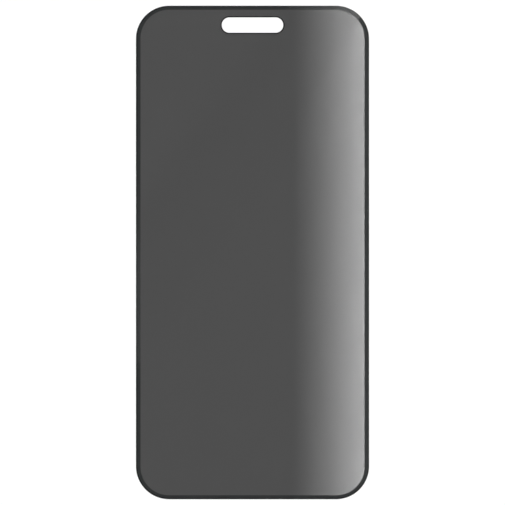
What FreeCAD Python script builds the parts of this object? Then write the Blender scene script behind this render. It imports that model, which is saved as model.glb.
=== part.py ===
import FreeCAD, Part
import math
import os
import Sketcher

# Privacy screen protector for a phone: a clear glass sheet with a ground bevel all round, and behind
# it, in one thin layer, a dark louvre film, the black ring that frames it and the black rim of the
# camera cut-out. It lies on its adhesive side: X is across, Y runs up to the cut-out, Z is out of the glass.

# Driving sizes in millimetres: name, value, what it sets
SIZES = (
    ("outline_width", 69.9, "glass outline, side to side"),
    ("outline_height", 148.0, "glass outline, end to end"),
    ("corner_radius", 9.9, "outline corners, in plan"),
    ("border_side", 1.35, "black border and bevel along the sides"),
    ("border_end", 1.18, "black border and bevel along the ends"),
    ("film_thickness", 0.15, "layer that holds the film, the border ring and the rim"),
    ("glass_thickness", 0.33, "glass at the window"),
    ("edge_land", 0.15, "upright edge of the glass below the bevel"),
    ("edge_round", 0.1, "rounding between the upright edge and the bevel"),
    ("cutout_length", 18.5, "camera cut-out, end to end"),
    ("cutout_height", 4.64, "camera cut-out, across"),
    ("cutout_gap", 1.94, "film left between the border and the rim of the cut-out"),
    ("cutout_bevel", 0.08, "ground upper edge of the cut-out"),
    ("rim_width", 0.34, "black rim round the cut-out"),
)

SHEET = "Sizes"
SAME = 1e-6


def size(name):
    """The sheet's cell of that name, as an expression."""
    return f"{SHEET}.{name}"


# Sizes that follow from the driving ones
OUTLINE = (size("outline_width"), size("outline_height"), size("corner_radius"))
WINDOW = (
    f"{size('outline_width')} - 2 * {size('border_side')}",
    f"{size('outline_height')} - 2 * {size('border_end')}",
    f"{size('corner_radius')} - {size('border_side')}",
)
HOLE_RADIUS = f"{size('cutout_height')} / 2"
RIM_RADIUS = f"{HOLE_RADIUS} + {size('rim_width')}"
CUTOUT_REACH = f"({size('cutout_length')} - {size('cutout_height')}) / 2"
CUTOUT_DROP = f"{size('border_end')} + {size('cutout_gap')} + {RIM_RADIUS}"
CUTOUT_MIDDLE = f"{size('outline_height')} / 2 - ({CUTOUT_DROP})"
GLASS_BACK = size("film_thickness")
BEVEL_FOOT = f"{GLASS_BACK} + {size('edge_land')}"
GLASS_FRONT = f"{GLASS_BACK} + {size('glass_thickness')}"

doc = FreeCAD.newDocument("ScreenProtector")


def make_sheet():
    """The spreadsheet of driving sizes, one row each: words, value, meaning."""
    sheet = doc.addObject("Spreadsheet::Sheet", SHEET)
    for row, (name, value, meaning) in enumerate(SIZES, start=1):
        sheet.set(f"A{row}", name)
        sheet.set(f"B{row}", str(value))
        sheet.setAlias(f"B{row}", name)
        sheet.set(f"C{row}", meaning)
    doc.recompute()
    return sheet


sheet = make_sheet()


def number(expression):
    """The present value of an expression of the sheet, as a plain number."""
    return float(sheet.evalExpression(expression.replace(f"{SHEET}.", "")))


def make_body(label):
    body = doc.addObject("PartDesign::Body", label)
    body.Label = label
    return body


def make_sketch(body, name, height=None):
    """A sketch parallel to the body's XY plane, at a height given as an expression."""
    sketch = body.newObject("Sketcher::SketchObject", name)
    plane = next(f for f in body.Origin.OriginFeatures if f.Role == "XY_Plane")
    sketch.AttachmentSupport = [(plane, "")]
    sketch.MapMode = "FlatFace"
    if height:
        sketch.setExpression("AttachmentOffset.Base.z", height)
    return sketch


def drive(sketch, constraint, name, expression):
    """Adds a dimension to a sketch and binds it to an expression of the sheet."""
    index = sketch.addConstraint(constraint)
    sketch.renameConstraint(index, name)
    sketch.setExpression(f"Constraints.{name}", expression)


def draw_arc(sketch, x, y, radius, start, end):
    circle = Part.Circle(FreeCAD.Vector(x, y, 0), FreeCAD.Vector(0, 0, 1), radius)
    return sketch.addGeometry(Part.ArcOfCircle(circle, math.radians(start), math.radians(end)))


def draw_line(sketch, start, end):
    return sketch.addGeometry(Part.LineSegment(FreeCAD.Vector(*start, 0), FreeCAD.Vector(*end, 0)))


def close_smoothly(sketch, edges):
    """Joins each edge's end to the next edge's start, tangent there."""
    for edge, following in zip(edges, edges[1:] + edges[:1]):
        sketch.addConstraint(Sketcher.Constraint("Tangent", edge, 2, following, 1))


def draw_rounded_rectangle(sketch, name, outline):
    """A rounded rectangle centred on the origin, from width, height and corner radius."""
    width, height, radius = (number(e) for e in outline)
    x, y = width / 2, height / 2
    bottom = draw_line(sketch, (radius - x, -y), (x - radius, -y))
    corner = draw_arc(sketch, x - radius, radius - y, radius, -90, 0)
    right = draw_line(sketch, (x, radius - y), (x, y - radius))
    second = draw_arc(sketch, x - radius, y - radius, radius, 0, 90)
    top = draw_line(sketch, (x - radius, y), (radius - x, y))
    third = draw_arc(sketch, radius - x, y - radius, radius, 90, 180)
    left = draw_line(sketch, (-x, y - radius), (-x, radius - y))
    fourth = draw_arc(sketch, radius - x, radius - y, radius, 180, 270)
    close_smoothly(sketch, [bottom, corner, right, second, top, third, left, fourth])
    for line in (bottom, top):
        sketch.addConstraint(Sketcher.Constraint("Horizontal", line))
    for line in (right, left):
        sketch.addConstraint(Sketcher.Constraint("Vertical", line))
    for arc in (second, third, fourth):
        sketch.addConstraint(Sketcher.Constraint("Equal", corner, arc))
    sketch.addConstraint(Sketcher.Constraint("Symmetric", bottom, 1, top, 1, -1, 1))
    drive(sketch, Sketcher.Constraint("DistanceX", left, 1, right, 1, width), f"{name}_width", outline[0])
    drive(sketch, Sketcher.Constraint("DistanceY", bottom, 1, top, 1, height), f"{name}_height", outline[1])
    drive(sketch, Sketcher.Constraint("Radius", corner, radius), f"{name}_radius", outline[2])


def draw_pill(sketch, name, end_radius):
    """A slot with round ends about the camera cut-out's middle, with the ends' radius as an expression."""
    radius, reach, middle = (number(e) for e in (end_radius, CUTOUT_REACH, CUTOUT_MIDDLE))
    bottom = draw_line(sketch, (-reach, middle - radius), (reach, middle - radius))
    right = draw_arc(sketch, reach, middle, radius, -90, 90)
    top = draw_line(sketch, (reach, middle + radius), (-reach, middle + radius))
    left = draw_arc(sketch, -reach, middle, radius, 90, 270)
    close_smoothly(sketch, [bottom, right, top, left])
    sketch.addConstraint(Sketcher.Constraint("Horizontal", bottom))
    sketch.addConstraint(Sketcher.Constraint("Equal", right, left))
    drive(sketch, Sketcher.Constraint("DistanceX", -1, 1, right, 3, reach), f"{name}_right", CUTOUT_REACH)
    drive(sketch, Sketcher.Constraint("DistanceX", left, 3, -1, 1, reach), f"{name}_left", CUTOUT_REACH)
    drive(sketch, Sketcher.Constraint("DistanceY", -1, 1, right, 3, middle), f"{name}_middle", CUTOUT_MIDDLE)
    drive(sketch, Sketcher.Constraint("Radius", right, radius), f"{name}_radius", end_radius)


def pad(body, name, sketch, length):
    feature = body.newObject("PartDesign::Pad", name)
    feature.Profile = sketch
    feature.setExpression("Length", length)
    return feature


def level_edges(feature, height):
    """The feature's edges that lie flat at a height, as pairs of name and box."""
    boxes = [(f"Edge{index}", edge.BoundBox) for index, edge in enumerate(feature.Shape.Edges, start=1)]
    level = number(height)
    return [(name, box) for name, box in boxes if max(abs(box.ZMin - level), abs(box.ZMax - level)) < SAME]


def bounds_cutout(box):
    """Whether an edge's box lies within the cut-out's own length and height."""
    reach, middle, radius = (number(e) for e in (CUTOUT_REACH, CUTOUT_MIDDLE, HOLE_RADIUS))
    across = max(abs(box.YMin - middle), abs(box.YMax - middle)) < radius + SAME
    return across and box.XLength < 2 * reach + SAME


def make_privacy_film():
    """Dark louvre film: fills the window and stops at the rim of the cut-out."""
    body = make_body("privacy_film")
    sketch = make_sketch(body, "FilmOutline")
    draw_rounded_rectangle(sketch, "window", WINDOW)
    draw_pill(sketch, "rim", RIM_RADIUS)
    pad(body, "Film", sketch, size("film_thickness"))
    return body


def make_border_frame():
    """Black ring behind the bevel, from the outline to the window."""
    body = make_body("border_frame")
    sketch = make_sketch(body, "BorderOutline")
    draw_rounded_rectangle(sketch, "outline", OUTLINE)
    draw_rounded_rectangle(sketch, "window", WINDOW)
    pad(body, "Border", sketch, size("film_thickness"))
    return body


def make_cutout_rim():
    """Black rim between the cut-out and the film."""
    body = make_body("cutout_rim")
    sketch = make_sketch(body, "RimOutline")
    draw_pill(sketch, "rim", RIM_RADIUS)
    draw_pill(sketch, "hole", HOLE_RADIUS)
    pad(body, "Rim", sketch, size("film_thickness"))
    return body


def make_cover_glass():
    """Clear glass: an upright edge, a flat ground bevel as wide as the border, and the cut-out."""
    body = make_body("cover_glass")
    back = make_sketch(body, "GlassOutline", GLASS_BACK)
    draw_rounded_rectangle(back, "outline", OUTLINE)
    pad(body, "UprightEdge", back, size("edge_land"))

    # The bevel rises from the whole outline to the window's outline, so its inner edge is the border's
    foot = make_sketch(body, "BevelFoot", BEVEL_FOOT)
    draw_rounded_rectangle(foot, "outline", OUTLINE)
    front = make_sketch(body, "BevelTop", GLASS_FRONT)
    draw_rounded_rectangle(front, "window", WINDOW)
    bevel = body.newObject("PartDesign::AdditiveLoft", "GroundBevel")
    bevel.Profile = foot
    bevel.Sections = [front]
    bevel.Ruled = True
    doc.recompute()

    # The upright edge turns into the bevel in a small round
    edge_round = body.newObject("PartDesign::Fillet", "EdgeRound")
    edge_round.Base = (bevel, [name for name, box in level_edges(bevel, BEVEL_FOOT)])
    edge_round.setExpression("Radius", size("edge_round"))
    doc.recompute()
    whole = edge_round.Shape.Volume

    hole_sketch = make_sketch(body, "CutoutOutline", GLASS_FRONT)
    draw_pill(hole_sketch, "hole", HOLE_RADIUS)
    hole = body.newObject("PartDesign::Pocket", "Cutout")
    hole.Profile = hole_sketch
    hole.Type = "ThroughAll"
    doc.recompute()
    if hole.Shape.Volume >= whole:
        raise RuntimeError("the cut-out took nothing from the glass")

    # The cut-out's upper edge is ground off all round
    hole_bevel = body.newObject("PartDesign::Chamfer", "CutoutBevel")
    hole_bevel.Base = (hole, [name for name, box in level_edges(hole, GLASS_FRONT) if bounds_cutout(box)])
    hole_bevel.setExpression("Size", size("cutout_bevel"))
    return body


def check(parts):
    """Stops unless every object was worked out and every part is one valid solid."""
    for item in doc.Objects:
        if "Invalid" in item.State or "Error" in item.State:
            raise RuntimeError(f"{item.Label} failed: {item.State}")
    for part in parts:
        if part.Shape.isNull() or not part.Shape.isValid() or len(part.Shape.Solids) != 1:
            raise RuntimeError(f"{part.Label} is not one valid solid")


parts = [make_cover_glass(), make_privacy_film(), make_border_frame(), make_cutout_rim()]
doc.recompute()
check(parts)

os.makedirs("parts", exist_ok=True)
for part in parts:
    part.Shape.exportStep(f"parts/{part.Label}.step")
    print(part.Label, round(part.Shape.Volume, 3), "mm3")
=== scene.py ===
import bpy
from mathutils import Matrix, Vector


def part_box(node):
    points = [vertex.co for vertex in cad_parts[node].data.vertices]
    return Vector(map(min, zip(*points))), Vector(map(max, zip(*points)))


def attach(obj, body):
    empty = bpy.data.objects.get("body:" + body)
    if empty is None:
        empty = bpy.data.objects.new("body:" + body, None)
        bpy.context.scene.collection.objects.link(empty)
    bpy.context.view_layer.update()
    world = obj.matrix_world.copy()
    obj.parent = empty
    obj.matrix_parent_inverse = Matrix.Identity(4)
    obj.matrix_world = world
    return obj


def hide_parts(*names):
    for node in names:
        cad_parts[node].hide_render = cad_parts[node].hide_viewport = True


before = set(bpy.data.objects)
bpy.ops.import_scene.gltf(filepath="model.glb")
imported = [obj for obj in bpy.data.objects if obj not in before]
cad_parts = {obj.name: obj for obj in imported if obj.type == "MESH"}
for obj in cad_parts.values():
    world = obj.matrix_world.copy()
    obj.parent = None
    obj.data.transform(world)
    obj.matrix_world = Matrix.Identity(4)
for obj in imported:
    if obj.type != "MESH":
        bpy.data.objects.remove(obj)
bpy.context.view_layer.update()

import math
from collections import namedtuple

import bmesh
import bpy
from bpy.props import FloatProperty, FloatVectorProperty, IntProperty, PointerProperty

bl_info = {
    "name": "Privacy screen protector",
    "version": (1, 0, 0),
    "blender": (4, 5, 0),
    "location": "3D View > Sidebar > Protector",
    "description": "Dresses the packed screen protector and sets it on a white studio floor",
    "category": "Object",
}

MM = 0.001
BODY = "root"

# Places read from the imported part: glass outline, film window and the box of the cut-out's rim
GLASS_LOW, GLASS_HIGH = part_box("cover_glass")
WINDOW_LOW, WINDOW_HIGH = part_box("privacy_film")
RIM_LOW, RIM_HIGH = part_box("cutout_rim")
BORDER_SIDE = GLASS_HIGH.x - WINDOW_HIGH.x

# Tolerances in metres: points this close are one point, and points this close in height are level
MERGE = 1e-7
LEVEL = 1e-6
# A face belongs to the glass's bevel if its normal rises as the bevel's does, within this much
BEVEL_SPREAD = 0.005
# A face looks up if its normal rises by more than this
UPWARD = 0.5
# Profile of a rounding that is a true arc, and the angle past which an edge stays crisp
ARC = 0.5
SMOOTH_ANGLE = math.radians(30)

# A flat outline with round corners: its middle, its full width and height, and its corner radius
Outline = namedtuple("Outline", "x y width height radius")
# A stretch over which light changes, from where the change starts to where it is done
Span = namedtuple("Span", "start end")


def linear(code):
    """An sRGB hex colour such as #4E4E4E as linear red, green, blue."""
    parts = [int(code[i:i + 2], 16) / 255 for i in (1, 3, 5)]
    return [p / 12.92 if p <= 0.04045 else ((p + 0.055) / 1.055) ** 2.4 for p in parts]


class GlassSettings(bpy.types.PropertyGroup):
    """Sizes and colour of the clear cover glass"""
    corner_radius: FloatProperty(
        name="Corner radius", description="Radius of the outline's corners, in plan",
        default=9.9 * MM, unit="LENGTH")
    edge_land: FloatProperty(
        name="Upright edge", description="Height of the upright edge below the bevel",
        default=0.15 * MM, unit="LENGTH")
    edge_round: FloatProperty(
        name="Edge round", description="Radius between the upright edge and the bevel",
        default=0.1 * MM, unit="LENGTH")
    cutout_bevel: FloatProperty(
        name="Cut-out bevel", description="Ground upper edge of the camera cut-out",
        default=0.08 * MM, unit="LENGTH")
    corner_steps: IntProperty(
        name="Corner steps", description="Straight steps that draw each round corner", default=40)
    edge_steps: IntProperty(
        name="Edge steps", description="Straight steps that draw the round of the edge", default=8)
    tint: FloatVectorProperty(
        name="Tint", description="Colour of light that has passed through the glass",
        default=linear("#FEFEFE"), subtype="COLOR")


class FilmSettings(bpy.types.PropertyGroup):
    """Sizes and colour of the dark louvre film"""
    glue_line: FloatProperty(
        name="Glue line", description="Clear bond between the film and the glass",
        default=0.01 * MM, unit="LENGTH")
    louvre_pitch: FloatProperty(
        name="Louvre pitch", description="Distance from one drawn louvre to the next",
        default=0.6 * MM, unit="LENGTH")
    colour: FloatVectorProperty(
        name="Film colour", description="Dark grey of the film between its louvres",
        default=linear("#4E4E4E"), subtype="COLOR")


class BorderSettings(bpy.types.PropertyGroup):
    """Sizes and colours of the black border and the cut-out's rim"""
    rim_width: FloatProperty(
        name="Rim width", description="Width of the black rim round the cut-out",
        default=0.34 * MM, unit="LENGTH")
    # The border's outer band of this width is pressed down a little and drawn in the deeper black, which is
    # painted shade along the edge
    shaded_edge: FloatProperty(
        name="Cut edge", description="Width of the border's outer edge that the die presses down",
        default=0.3 * MM, unit="LENGTH")
    pressed: FloatProperty(
        name="Press", description="How far the die presses the border's outer edge down",
        default=0.005 * MM, unit="LENGTH")
    colour: FloatVectorProperty(
        name="Border colour", description="Black of the border",
        default=linear("#323434"), subtype="COLOR")
    # The deeper black is the rim's own black, and on the border's outer band it is painted shade along the
    # edge
    rim_and_shaded_edge_colour: FloatVectorProperty(
        name="Edge colour", description="Deeper black of the rim and of the border's cut edge",
        default=linear("#121414"), subtype="COLOR")


class StageSettings(bpy.types.PropertyGroup):
    """The floor, the light and the camera"""
    picture_width: FloatProperty(
        name="Picture width", description="Width of the picture at the level of the glass's widest outline",
        default=151.46 * MM, unit="LENGTH")
    lens: FloatProperty(
        name="Lens", description="Focal length in millimetres", default=300, unit="CAMERA")
    card_height: FloatProperty(
        name="Card height", description="Height of the glowing cards over the floor",
        default=400 * MM, unit="LENGTH")
    card_glow: FloatProperty(
        name="Card glow", description="Brightness of the graded card at its bright side", default=9.2)
    wall_light: FloatProperty(
        name="Wall light", description="Brightness of the studio's walls", default=0.36)
    softbox_light: FloatProperty(
        name="Softbox light", description="Brightness of the band of softboxes", default=2.61)
    floor_colour: FloatVectorProperty(
        name="Floor colour", description="White of the paper floor",
        default=linear("#E1E1E1"), subtype="COLOR")
    floor_lift: FloatProperty(
        name="Floor lift",
        description="Glow that brings the floor to white, for the eye and for mirror images only",
        default=0.22)


def settings(name):
    """The scene's settings of one group."""
    return getattr(bpy.context.scene, f"protector_{name}")


# Outlines shared by the pieces

def box_outline(low, high, radius):
    """The outline of a box seen from above, with a corner radius."""
    middle = (low + high) / 2
    extent = high - low
    return Outline(middle.x, middle.y, extent.x, extent.y, radius)


def grown(outline, by):
    """The outline moved outwards all round, with its corners kept concentric."""
    return Outline(
        outline.x, outline.y, outline.width + 2 * by, outline.height + 2 * by, outline.radius + by)


def glass_outline():
    """The outer edge of the glass and of the border."""
    return box_outline(GLASS_LOW, GLASS_HIGH, settings("glass").corner_radius)


def window_outline():
    """The inner edge of the border, where the film begins."""
    return box_outline(WINDOW_LOW, WINDOW_HIGH, settings("glass").corner_radius - BORDER_SIDE)


def rim_outline():
    """The outer edge of the cut-out's rim, a pill."""
    return box_outline(RIM_LOW, RIM_HIGH, (RIM_HIGH.y - RIM_LOW.y) / 2)


def hole_outline():
    """The camera cut-out, inside its rim."""
    return grown(rim_outline(), -settings("border").rim_width)


# Modelling in edit mode

def begin_piece(name, outline, height):
    """A new object in edit mode that holds one flat face of an outline at a height."""
    bpy.ops.object.select_all(action="DESELECT")
    bpy.ops.mesh.primitive_plane_add(size=1)
    piece = bpy.context.object
    piece.name = name
    piece.data.name = name
    bpy.ops.object.mode_set(mode="EDIT")
    bpy.ops.mesh.delete(type="VERT")
    draw_outline(outline, height)
    return piece


def draw_outline(outline, height):
    """Adds a flat face of an outline to the mesh in edit mode and leaves it selected."""
    middle = (outline.x, outline.y, height)
    bpy.ops.mesh.primitive_plane_add(size=1, location=middle)
    bpy.ops.transform.resize(value=(outline.width, outline.height, 1), center_override=middle)
    bpy.ops.mesh.bevel(
        affect="VERTICES", offset_type="OFFSET", offset=outline.radius,
        segments=settings("glass").corner_steps, profile=ARC)
    bpy.ops.mesh.remove_doubles(threshold=MERGE)


def select(piece, kind, test):
    """Selects only those faces or edges that pass a test."""
    bpy.ops.mesh.select_mode(type={"faces": "FACE", "edges": "EDGE"}[kind])
    bpy.ops.mesh.select_all(action="DESELECT")
    mesh = bmesh.from_edit_mesh(piece.data)
    for element in getattr(mesh, kind):
        element.select_set(test(element))
    bmesh.update_edit_mesh(piece.data)


def at_height(height):
    """A test that a face or edge lies level at a height."""
    return lambda element: all(abs(vertex.co.z - height) < LEVEL for vertex in element.verts)


def half_level(height, side):
    """A test that an edge lies level at a height on one side of the middle."""
    level = at_height(height)
    return lambda edge: level(edge) and all(side * vertex.co.x > -LEVEL for vertex in edge.verts)


def raise_face(height):
    """Extrudes the selected face straight up."""
    bpy.ops.mesh.extrude_region_move(TRANSFORM_OT_translate={"value": (0, 0, height)})


def open_through(piece, steps):
    """Opens a hole from the piece's lowest face to its highest, along outlines given from low to high."""
    low, high = steps[0][1], steps[-1][1]
    for height in (low, high):
        select(piece, "faces", at_height(height))
        bpy.ops.mesh.delete(type="ONLY_FACE")
    for outline, height in steps:
        draw_outline(outline, height)
        bpy.ops.mesh.delete(type="ONLY_FACE")
    select(piece, "edges", lambda edge: edge.is_wire)
    bpy.ops.mesh.bridge_edge_loops()
    # Cut down the middle, a level with a hole is two halves, and each half can be one face
    bpy.ops.mesh.select_all(action="SELECT")
    bpy.ops.mesh.bisect(plane_co=(0, 0, 0), plane_no=(1, 0, 0), threshold=LEVEL)
    for height in (low, high):
        for side in (-1, 1):
            select(piece, "edges", half_level(height, side))
            bpy.ops.mesh.edge_face_add()


def give_second(piece, material, test):
    """Gives the faces that pass a test the piece's second material."""
    piece.data.materials.append(material)
    select(piece, "faces", test)
    piece.active_material_index = 1
    bpy.ops.object.material_slot_assign()


def end_piece(piece, node):
    """Checks that the piece is closed, closes edit mode, smooths the round faces, gives the piece its body
    and hides the part that it replaces.
    """
    if not all(edge.is_manifold for edge in bmesh.from_edit_mesh(piece.data).edges):
        raise RuntimeError(f"{piece.name} has an open edge")
    bpy.ops.mesh.select_all(action="SELECT")
    bpy.ops.mesh.normals_make_consistent(inside=False)
    bpy.ops.object.mode_set(mode="OBJECT")
    bpy.ops.object.shade_smooth_by_angle(angle=SMOOTH_ANGLE, keep_sharp_edges=True)
    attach(piece, BODY)
    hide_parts(node)


# Materials

# Refraction of the glass, and of the film, which carries the mirror image of the glass's front
GLASS_IOR = 1.52
FILM_IOR = 1.5
# How fast the coated front starts to mirror as the view gets low
COAT_POWER = 20.0
# Smears of the grease-proof coat: their width, their detail and the roughness that they bring
SMEAR_SIZE = 12 * MM
SMEAR_DETAIL = 3.0
GLASS_ROUGHNESS = (0.02, 0.07)
FILM_ROUGHNESS = (0.01, 0.03)
# A louvre's colour beside the film's, and how many radians a wave of scale 1 turns in a metre
LOUVRE_SHARE = 0.97
WAVE_RATE = 20
# Mottle of the black polyester: its grain, its detail, its darkest and its lightest share of the colour
MOTTLE_SIZE = 0.8 * MM
MOTTLE_DETAIL = 2.0
MOTTLE_SHARES = (0.95, 1.05)
BLACK_ROUGHNESS = 0.5


def new_material(name):
    """A material with an empty node tree."""
    material = bpy.data.materials.new(name)
    material.use_nodes = True
    material.node_tree.nodes.clear()
    return material


def add_node(tree, kind, values=None, links=None, **options):
    """Adds a node with its options, the values of its inputs and the sockets that feed them."""
    node = tree.nodes.new(kind)
    for name, value in options.items():
        setattr(node, name, value)
    for name, value in (values or {}).items():
        node.inputs[name].default_value = value
    for name, socket in (links or {}).items():
        tree.links.new(socket, node.inputs[name])
    return node


def shaded(colour, share):
    """A colour at a share of its brightness, as a node's input takes it."""
    return (*[share * part for part in colour], 1)


def tempered_glass():
    """Float glass, ground, polished and tempered: clear, with a sharp mirror image of a few percent."""
    material = new_material("Polished tempered glass")
    fresnel = add_node(material.node_tree, "ShaderNodeFresnel", {"IOR": GLASS_IOR})
    finish_glass(material.node_tree, fresnel.outputs["Fac"])
    return material


def coated_glass():
    """The glass's coated front: clear straight on, as the film carries its gloss, and a mirror seen low."""
    material = new_material("Coated tempered glass")
    tree = material.node_tree
    facing = add_node(tree, "ShaderNodeLayerWeight").outputs["Facing"]
    grazing = add_node(tree, "ShaderNodeMath", {1: COAT_POWER}, {0: facing}, operation="POWER")
    finish_glass(tree, grazing.outputs["Value"])
    return material


def finish_glass(tree, mirror_share):
    """Mixes clear glass with a mirror image, on its outer side only, which faint smears soften."""
    side = add_node(tree, "ShaderNodeNewGeometry").outputs["Backfacing"]
    outside = add_node(tree, "ShaderNodeMath", {0: 1.0}, {1: side}, operation="SUBTRACT")
    outer_share = add_node(
        tree, "ShaderNodeMath", {}, {0: mirror_share, 1: outside.outputs["Value"]}, operation="MULTIPLY")
    place = add_node(tree, "ShaderNodeTexCoord").outputs["Object"]
    smear = add_node(
        tree, "ShaderNodeTexNoise", {"Scale": 1 / SMEAR_SIZE, "Detail": SMEAR_DETAIL}, {"Vector": place})
    smoothest, roughest = GLASS_ROUGHNESS
    roughness = add_node(
        tree, "ShaderNodeMapRange", {"To Min": smoothest, "To Max": roughest},
        {"Value": smear.outputs["Fac"]})
    clear = add_node(tree, "ShaderNodeBsdfTransparent", {"Color": (*settings("glass").tint, 1)})
    mirror = add_node(
        tree, "ShaderNodeBsdfGlossy", {"Color": (1, 1, 1, 1)}, {"Roughness": roughness.outputs["Result"]})
    mix = add_node(
        tree, "ShaderNodeMixShader", {},
        {0: outer_share.outputs["Value"], 1: clear.outputs["BSDF"], 2: mirror.outputs["BSDF"]})
    add_node(tree, "ShaderNodeOutputMaterial", {}, {"Surface": mix.outputs["Shader"]})


def louvre_film():
    """Cast polyester film with black louvres across it: dark, even and as glossy as the glass it backs."""
    film = settings("film")
    material = new_material("Cast polyester louvre film")
    tree = material.node_tree
    place = add_node(tree, "ShaderNodeTexCoord").outputs["Object"]
    # Real louvres are about 0.05 mm apart, too fine to show, so they are drawn wider and very faint
    louvres = add_node(
        tree, "ShaderNodeTexWave", {"Scale": math.tau / (WAVE_RATE * film.louvre_pitch)}, {"Vector": place},
        wave_type="BANDS", bands_direction="X")
    colour = add_node(
        tree, "ShaderNodeMix", {"A": (*film.colour, 1), "B": shaded(film.colour, LOUVRE_SHARE)},
        {"Factor": louvres.outputs["Fac"]}, data_type="RGBA")
    smear = add_node(
        tree, "ShaderNodeTexNoise", {"Scale": 1 / SMEAR_SIZE, "Detail": SMEAR_DETAIL}, {"Vector": place})
    smoothest, roughest = FILM_ROUGHNESS
    roughness = add_node(
        tree, "ShaderNodeMapRange", {"To Min": smoothest, "To Max": roughest},
        {"Value": smear.outputs["Fac"]})
    shader = add_node(
        tree, "ShaderNodeBsdfPrincipled", {"IOR": FILM_IOR},
        {"Base Color": colour.outputs["Result"], "Roughness": roughness.outputs["Result"]})
    add_node(tree, "ShaderNodeOutputMaterial", {}, {"Surface": shader.outputs["BSDF"]})
    return material


def black_polyester(name, black):
    """Die-cut black polyester bonded under the glass: dense, with a faint mottle and no gloss of its own."""
    material = new_material(name)
    tree = material.node_tree
    place = add_node(tree, "ShaderNodeTexCoord").outputs["Object"]
    mottle = add_node(
        tree, "ShaderNodeTexNoise", {"Scale": 1 / MOTTLE_SIZE, "Detail": MOTTLE_DETAIL}, {"Vector": place})
    darkest, lightest = MOTTLE_SHARES
    colour = add_node(
        tree, "ShaderNodeMix", {"A": shaded(black, darkest), "B": shaded(black, lightest)},
        {"Factor": mottle.outputs["Fac"]}, data_type="RGBA")
    shader = add_node(
        tree, "ShaderNodeBsdfPrincipled", {"Roughness": BLACK_ROUGHNESS, "Specular IOR Level": 0.0},
        {"Base Color": colour.outputs["Result"]})
    add_node(tree, "ShaderNodeOutputMaterial", {}, {"Surface": shader.outputs["BSDF"]})
    return material


# Pieces

class PROTECTOR_OT_cover_glass(bpy.types.Operator):
    """Models the clear glass with its bevel, round edge and cut-out"""
    bl_idname = "protector.cover_glass"
    bl_label = "Cover glass"

    def execute(self, context):
        glass = settings("glass")
        back = GLASS_LOW.z
        foot = back + glass.edge_land
        front = GLASS_HIGH.z
        piece = begin_piece("bevelled_glass", glass_outline(), back)
        raise_face(glass.edge_land)
        # The inset is as wide at the ends as at the sides, so it is then stretched to the window's height
        bpy.ops.mesh.inset(thickness=BORDER_SIDE, depth=front - foot)
        inset_height = GLASS_HIGH.y - GLASS_LOW.y - 2 * BORDER_SIDE
        stretch = window_outline().height / inset_height
        bpy.ops.transform.resize(value=(1, stretch, 1), center_override=(0, 0, front))
        slope = math.atan2(front - foot, BORDER_SIDE)
        half_angle = (math.pi / 2 + slope) / 2
        select(piece, "edges", at_height(foot))
        bpy.ops.mesh.bevel(
            affect="EDGES", offset_type="OFFSET", offset=glass.edge_round / math.tan(half_angle),
            segments=glass.edge_steps, profile=ARC)
        # The bevel is ground flat, so its two borders stay crisp
        select(piece, "faces", lambda face: abs(face.normal.z - math.cos(slope)) < BEVEL_SPREAD)
        bpy.ops.mesh.region_to_loop()
        bpy.ops.mesh.mark_sharp()
        hole = hole_outline()
        hole_foot = front - glass.cutout_bevel
        open_through(piece, [(hole, back), (hole, hole_foot), (grown(hole, glass.cutout_bevel), front)])
        piece.data.materials.append(tempered_glass())
        give_second(
            piece, coated_glass(),
            lambda face: all(corner.co.z > hole_foot - LEVEL for corner in face.verts))
        end_piece(piece, "cover_glass")
        return {"FINISHED"}


class PROTECTOR_OT_privacy_film(bpy.types.Operator):
    """Models the dark film that fills the window"""
    bl_idname = "protector.privacy_film"
    bl_label = "Privacy film"

    def execute(self, context):
        low = WINDOW_LOW.z
        thickness = WINDOW_HIGH.z - low - settings("film").glue_line
        piece = begin_piece("louvre_film", window_outline(), low)
        raise_face(thickness)
        open_through(piece, [(rim_outline(), low), (rim_outline(), low + thickness)])
        piece.data.materials.append(louvre_film())
        end_piece(piece, "privacy_film")
        return {"FINISHED"}


class PROTECTOR_OT_black_rings(bpy.types.Operator):
    """Models the black border and the black rim of the cut-out"""
    bl_idname = "protector.black_rings"
    bl_label = "Border and rim"

    def execute(self, context):
        border = settings("border")
        low = WINDOW_LOW.z
        thickness = WINDOW_HIGH.z - low - settings("film").glue_line
        top = low + thickness
        # One deeper black for the rim, and for the painted shade along the border's outer band
        rim_and_edge_shade = black_polyester("Die-cut black polyester edge", border.rim_and_shaded_edge_colour)
        border_piece = begin_piece("black_border", glass_outline(), low)
        raise_face(thickness - border.pressed)
        bpy.ops.mesh.inset(thickness=border.shaded_edge, depth=border.pressed)
        open_through(border_piece, [(window_outline(), low), (window_outline(), top)])
        border_piece.data.materials.append(black_polyester("Die-cut black polyester", border.colour))
        # The border's pressed outer band gets the deeper black: painted shade along the edge
        give_second(
            border_piece, rim_and_edge_shade,
            lambda face: face.normal.z > UPWARD and not at_height(top)(face))
        end_piece(border_piece, "border_frame")
        rim_piece = begin_piece("black_rim", rim_outline(), low)
        raise_face(thickness)
        open_through(rim_piece, [(hole_outline(), low), (hole_outline(), top)])
        rim_piece.data.materials.append(rim_and_edge_shade)
        end_piece(rim_piece, "cutout_rim")
        return {"FINISHED"}


# Stage

FLOOR_REACH = 4.0
FLOOR_DROP = 0.01 * MM

# The graded card, in metres from the sheet's middle: the ramp that the panel mirrors, and its soft ends
RAMP = Span(15.9 * MM, 44.2 * MM)
RAMP_BEND = 0.7
RIGHT_END = Span(47 * MM, 85 * MM)
NEAR_END = Span(-170 * MM, -100 * MM)
FAR_END = Span(300 * MM, 235 * MM)
GRADED_RIGHT = 132 * MM
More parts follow.
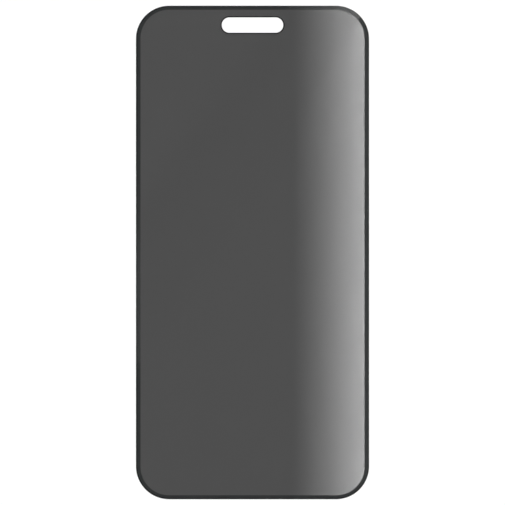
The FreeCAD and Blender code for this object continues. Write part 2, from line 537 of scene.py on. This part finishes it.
# Beyond the panel's top the card only lights the bevel: it rises, then climbs slowly, to a share of its glow
BEYOND_TOP = Span(102 * MM, 160 * MM)
TOP_RISE = Span(13 * MM, 43 * MM)
TOP_RISE_SHARE = 0.17
TOP_CLIMB = Span(43 * MM, 122 * MM)
TOP_CLIMB_SHARE = 0.05
# A slanting line on it: slope, place, how far its shade reaches, the gain across it and the drop at it
LINE_SLOPE = 1.584
LINE_PLACE = 25.4 * MM
LINE_REACH = 12 * MM
LINE_GAIN = 0.14
LINE_DROP = 0.19

# The streaked card, which hangs over the graded one: corners, slope, glow and where its streaks change
GLARE_LOW = (-46 * MM, -110 * MM)
GLARE_HIGH = (46 * MM, 102 * MM)
GLARE_LIFT = 5 * MM
GLARE_SLOPE = 1.42
GLARE_GLOW = 0.09
Streak = namedtuple("Streak", "span change")
STREAKS = (
    Streak(Span(18 * MM, 26 * MM), -0.036),
    Streak(Span(57 * MM, 67 * MM), -0.049),
    Streak(Span(74 * MM, 87 * MM), 0.097),
)

# Faint cards that the bevel mirrors: two corners, the glow, and the axis and stretch along which it comes up
FillCard = namedtuple("FillCard", "name low high glow axis rise")
FILL_CARDS = (
    FillCard(
        "card_left", (-200 * MM, -45 * MM), (-110 * MM, 37 * MM), 0.31, "Y", Span(37 * MM, -11 * MM)),
    FillCard(
        "card_right", (133 * MM, -260 * MM), (200 * MM, 260 * MM), 0.24, "Y", Span(-260 * MM, -200 * MM)),
    FillCard(
        "card_low_right", (25 * MM, -240 * MM), (133 * MM, -150 * MM), 0.21, "X", Span(25 * MM, 133 * MM)),
)

# The studio's dome, by how far a direction rises: softboxes over dim walls, up to the edge of a dark ceiling
SOFTBOXES = Span(0.5, 0.72)
CEILING = Span(0.84, 0.92)
# Softboxes all round, the share of one by which the first is turned, and each one's dim side and gain across
SOFTBOX_COUNT = 24
SOFTBOX_TURN = -0.06
SOFTBOX_DIM = 0.4
SOFTBOX_GAIN = 1.2


def white_floor():
    """Matt white paper floor that shows as white, less the shadow that falls on it."""
    stage = settings("stage")
    material = new_material("White paper floor")
    tree = material.node_tree
    path = add_node(tree, "ShaderNodeLightPath")
    seen = add_node(
        tree, "ShaderNodeMath", {}, {0: path.outputs["Is Camera Ray"], 1: path.outputs["Is Glossy Ray"]},
        operation="MAXIMUM")
    shown = add_node(
        tree, "ShaderNodeMath", {}, {0: seen.outputs["Value"], 1: path.outputs["Is Transmission Ray"]},
        operation="MAXIMUM")
    lift = add_node(
        tree, "ShaderNodeMath", {1: stage.floor_lift}, {0: shown.outputs["Value"]}, operation="MULTIPLY")
    paper = add_node(tree, "ShaderNodeBsdfDiffuse", {"Color": (*stage.floor_colour, 1)})
    glow = add_node(tree, "ShaderNodeEmission", {}, {"Strength": lift.outputs["Value"]})
    both = add_node(
        tree, "ShaderNodeAddShader", {}, {0: paper.outputs["BSDF"], 1: glow.outputs["Emission"]})
    # The glow only shows to the eye and in mirror images, so the floor isn't sampled as a lamp
    material.cycles.emission_sampling = "NONE"
    add_node(tree, "ShaderNodeOutputMaterial", {}, {"Surface": both.outputs["Shader"]})
    return material


def new_card(name):
    """An empty card material, and the axes that its glow is laid out along."""
    material = new_material(name)
    place = add_node(material.node_tree, "ShaderNodeTexCoord").outputs["Object"]
    axes = add_node(material.node_tree, "ShaderNodeSeparateXYZ", {}, {"Vector": place}).outputs
    return material, axes


def finish_card(tree, glow):
    """Makes a card of sheer cloth that glows and hides nothing behind it."""
    light = add_node(tree, "ShaderNodeEmission", {}, {"Strength": glow})
    sheer = add_node(tree, "ShaderNodeBsdfTransparent")
    both = add_node(
        tree, "ShaderNodeAddShader", {}, {0: sheer.outputs["BSDF"], 1: light.outputs["Emission"]})
    add_node(tree, "ShaderNodeOutputMaterial", {}, {"Surface": both.outputs["Shader"]})


def glow_over_panel(tree, axes, brightest):
    """A glow that grows to the right, and fades softly past what the panel mirrors from above."""
    across = add_node(
        tree, "ShaderNodeMapRange", {"From Min": RAMP.start, "From Max": RAMP.end},
        {"Value": axes["X"]}).outputs["Result"]
    steepening = add_node(
        tree, "ShaderNodeMath", {1: RAMP_BEND, 2: 1 - RAMP_BEND}, {0: across}, operation="MULTIPLY_ADD")
    ramp = add_node(
        tree, "ShaderNodeMath", {}, {0: across, 1: steepening.outputs["Value"]}, operation="MULTIPLY")
    right_end = add_node(
        tree, "ShaderNodeMapRange",
        {"From Min": RIGHT_END.start, "From Max": RIGHT_END.end, "To Min": brightest, "To Max": 0.0},
        {"Value": axes["X"]})
    near_end = add_node(
        tree, "ShaderNodeMapRange", {"From Min": NEAR_END.start, "From Max": NEAR_END.end},
        {"Value": axes["Y"]})
    ends = add_node(
        tree, "ShaderNodeMath", {}, {0: right_end.outputs["Result"], 1: near_end.outputs["Result"]},
        operation="MULTIPLY")
    glow = add_node(
        tree, "ShaderNodeMath", {}, {0: ramp.outputs["Value"], 1: ends.outputs["Value"]},
        operation="MULTIPLY")
    return glow.outputs["Value"]


def glow_over_top(tree, axes, brightest):
    """The fainter glow beyond the top, which lights the bevel of the top border and of the corner."""
    rise = add_node(
        tree, "ShaderNodeMapRange",
        {"From Min": TOP_RISE.start, "From Max": TOP_RISE.end, "To Max": TOP_RISE_SHARE * brightest},
        {"Value": axes["X"]})
    climb = add_node(
        tree, "ShaderNodeMapRange",
        {"From Min": TOP_CLIMB.start, "From Max": TOP_CLIMB.end, "To Max": TOP_CLIMB_SHARE * brightest},
        {"Value": axes["X"]})
    both = add_node(
        tree, "ShaderNodeMath", {}, {0: rise.outputs["Result"], 1: climb.outputs["Result"]}, operation="ADD")
    far_end = add_node(
        tree, "ShaderNodeMapRange", {"From Min": FAR_END.start, "From Max": FAR_END.end},
        {"Value": axes["Y"]})
    glow = add_node(
        tree, "ShaderNodeMath", {}, {0: both.outputs["Value"], 1: far_end.outputs["Result"]},
        operation="MULTIPLY")
    return glow.outputs["Value"]


def slanting_shade(tree, axes):
    """Shade that starts at a slanting line and is deepest there: a faint diagonal in the mirror image."""
    slant = add_node(
        tree, "ShaderNodeMath", {1: -LINE_SLOPE}, {0: axes["X"], 2: axes["Y"]}, operation="MULTIPLY_ADD")
    above = add_node(
        tree, "ShaderNodeMath", {1: LINE_PLACE}, {0: slant.outputs["Value"]}, operation="GREATER_THAN")
    across = add_node(
        tree, "ShaderNodeMapRange",
        {"From Min": LINE_PLACE - LINE_REACH, "From Max": LINE_PLACE + LINE_REACH,
         "To Min": 1.0, "To Max": 1 + LINE_GAIN},
        {"Value": slant.outputs["Value"]})
    shade = add_node(
        tree, "ShaderNodeMath", {1: -LINE_DROP}, {0: above.outputs["Value"], 2: across.outputs["Result"]},
        operation="MULTIPLY_ADD")
    return shade.outputs["Value"]


def graded_card(brightest):
    """Glowing cloth over the sheet's right side that fades to the left, and is faint beyond the top."""
    material, axes = new_card("Graded light card")
    tree = material.node_tree
    over_panel = glow_over_panel(tree, axes, brightest)
    over_top = glow_over_top(tree, axes, brightest)
    beyond = add_node(
        tree, "ShaderNodeMapRange", {"From Min": BEYOND_TOP.start, "From Max": BEYOND_TOP.end},
        {"Value": axes["Y"]})
    level = add_node(
        tree, "ShaderNodeMix", {}, {"Factor": beyond.outputs["Result"], "A": over_panel, "B": over_top},
        data_type="FLOAT")
    glow = add_node(
        tree, "ShaderNodeMath", {}, {0: level.outputs["Result"], 1: slanting_shade(tree, axes)},
        operation="MULTIPLY")
    finish_card(tree, glow.outputs["Value"])
    return material


def streaked_card():
    """Very faint cloth with slanting streaks, which the panel mirrors as a film of glare."""
    material, axes = new_card("Streaked light card")
    tree = material.node_tree
    slant = add_node(
        tree, "ShaderNodeMath", {1: -GLARE_SLOPE}, {0: axes["X"], 2: axes["Y"]}, operation="MULTIPLY_ADD")
    glow = None
    for span, change in STREAKS:
        step = add_node(
            tree, "ShaderNodeMapRange", {"From Min": span.start, "From Max": span.end, "To Max": change},
            {"Value": slant.outputs["Value"]})
        total = add_node(
            tree, "ShaderNodeMath", {0: GLARE_GLOW}, {1: step.outputs["Result"]}, operation="ADD")
        if glow:
            tree.links.new(glow, total.inputs[0])
        glow = total.outputs["Value"]
    finish_card(tree, glow)
    return material


def fill_card(card):
    """Faint glowing cloth that fades along one axis."""
    material, axes = new_card("Faint fill card")
    glow = add_node(
        material.node_tree, "ShaderNodeMapRange",
        {"From Min": card.rise.start, "From Max": card.rise.end, "To Max": card.glow},
        {"Value": axes[card.axis]})
    finish_card(material.node_tree, glow.outputs["Result"])
    return material


def studio_sky():
    """Dim walls, a bright band of softboxes high up, and a dark ceiling that the flat glass mirrors."""
    stage = settings("stage")
    world = bpy.data.worlds.new("Softboxes round a dark ceiling")
    world.use_nodes = True
    tree = world.node_tree
    tree.nodes.clear()
    direction = add_node(tree, "ShaderNodeTexCoord").outputs["Generated"]
    axes = add_node(tree, "ShaderNodeSeparateXYZ", {}, {"Vector": direction}).outputs
    walls = add_node(
        tree, "ShaderNodeMapRange",
        {"From Min": SOFTBOXES.start, "From Max": SOFTBOXES.end,
         "To Min": stage.wall_light, "To Max": stage.softbox_light},
        {"Value": axes["Z"]}, interpolation_type="SMOOTHSTEP")
    ceiling = add_node(
        tree, "ShaderNodeMapRange",
        {"From Min": CEILING.start, "From Max": CEILING.end, "To Min": 1.0, "To Max": 0.0},
        {"Value": axes["Z"]}, interpolation_type="SMOOTHSTEP")
    # The softboxes stand side by side all round, each fading to one side, as the glass shows in low views
    around = add_node(tree, "ShaderNodeMath", {}, {0: axes["Y"], 1: axes["X"]}, operation="ARCTAN2")
    turn = add_node(
        tree, "ShaderNodeMath", {1: SOFTBOX_COUNT / math.tau, 2: SOFTBOX_TURN}, {0: around.outputs["Value"]},
        operation="MULTIPLY_ADD")
    fade = add_node(tree, "ShaderNodeMath", {}, {0: turn.outputs["Value"]}, operation="FRACT")
    boxes = add_node(
        tree, "ShaderNodeMath", {1: SOFTBOX_GAIN, 2: SOFTBOX_DIM}, {0: fade.outputs["Value"]},
        operation="MULTIPLY_ADD")
    band = add_node(
        tree, "ShaderNodeMath", {}, {0: walls.outputs["Result"], 1: ceiling.outputs["Result"]},
        operation="MULTIPLY")
    level = add_node(
        tree, "ShaderNodeMath", {}, {0: band.outputs["Value"], 1: boxes.outputs["Value"]},
        operation="MULTIPLY")
    light = add_node(tree, "ShaderNodeBackground", {}, {"Strength": level.outputs["Value"]})
    add_node(tree, "ShaderNodeOutputWorld", {}, {"Surface": light.outputs["Background"]})
    return world


def flat_sheet(name, low, high, height, material):
    """A flat rectangle between two corners, as an object at the origin."""
    bpy.ops.object.select_all(action="DESELECT")
    middle = ((low[0] + high[0]) / 2, (low[1] + high[1]) / 2, height)
    bpy.ops.mesh.primitive_plane_add(size=1, location=middle)
    sheet = bpy.context.object
    sheet.name = name
    sheet.scale = (high[0] - low[0], high[1] - low[1], 1)
    bpy.ops.object.transform_apply(location=True, rotation=True, scale=True)
    sheet.data.materials.append(material)
    return sheet


def hang_card(name, low, high, height, material):
    """A card over the sheet that the camera looks through."""
    flat_sheet(name, low, high, height, material).visible_camera = False


def place_camera(stage):
    """A long lens straight above the sheet's middle, with the top of the picture along +Y."""
    camera = bpy.data.cameras.new("camera")
    camera.lens = stage.lens
    viewer = bpy.data.objects.new("camera", camera)
    widest = GLASS_LOW.z + settings("glass").edge_land
    viewer.location.z = widest + stage.picture_width * stage.lens / camera.sensor_width
    bpy.context.scene.collection.objects.link(viewer)
    bpy.context.scene.camera = viewer


class PROTECTOR_OT_stage(bpy.types.Operator):
    """Sets the floor, the light and the camera"""
    bl_idname = "protector.stage"
    bl_label = "Stage"

    def execute(self, context):
        stage = settings("stage")
        context.scene.view_settings.view_transform = "Standard"
        context.scene.world = studio_sky()
        flat_sheet(
            "floor", (-FLOOR_REACH, -FLOOR_REACH), (FLOOR_REACH, FLOOR_REACH), -FLOOR_DROP, white_floor())
        hang_card("card_streaks", GLARE_LOW, GLARE_HIGH, stage.card_height + GLARE_LIFT, streaked_card())
        hang_card(
            "card_over_panel", (TOP_RISE.start, NEAR_END.start), (GRADED_RIGHT, FAR_END.start),
            stage.card_height, graded_card(stage.card_glow))
        for card in FILL_CARDS:
            hang_card(card.name, card.low, card.high, stage.card_height, fill_card(card))
        place_camera(stage)
        return {"FINISHED"}


class PROTECTOR_PT_panel(bpy.types.Panel):
    """Lists the pieces and their settings"""
    bl_idname = "PROTECTOR_PT_panel"
    bl_label = "Screen protector"
    bl_space_type = "VIEW_3D"
    bl_region_type = "UI"
    bl_category = "Protector"

    def draw(self, context):
        for operator in OPERATORS:
            self.layout.operator(operator.bl_idname)
        for name, group in GROUPS.items():
            box = self.layout.box()
            for prop in group.__annotations__:
                box.prop(settings(name), prop)


OPERATORS = (
    PROTECTOR_OT_cover_glass,
    PROTECTOR_OT_privacy_film,
    PROTECTOR_OT_black_rings,
    PROTECTOR_OT_stage,
)
GROUPS = {"glass": GlassSettings, "film": FilmSettings, "border": BorderSettings, "stage": StageSettings}


def register():
    for group in (*GROUPS.values(), *OPERATORS, PROTECTOR_PT_panel):
        bpy.utils.register_class(group)
    for name, group in GROUPS.items():
        setattr(bpy.types.Scene, f"protector_{name}", PointerProperty(type=group))


def unregister():
    for name in GROUPS:
        delattr(bpy.types.Scene, f"protector_{name}")
    for group in reversed((*GROUPS.values(), *OPERATORS, PROTECTOR_PT_panel)):
        bpy.utils.unregister_class(group)


def main():
    register()
    bpy.ops.protector.cover_glass()
    bpy.ops.protector.privacy_film()
    bpy.ops.protector.black_rings()
    bpy.ops.protector.stage()


if __name__ == "__main__":
    main()
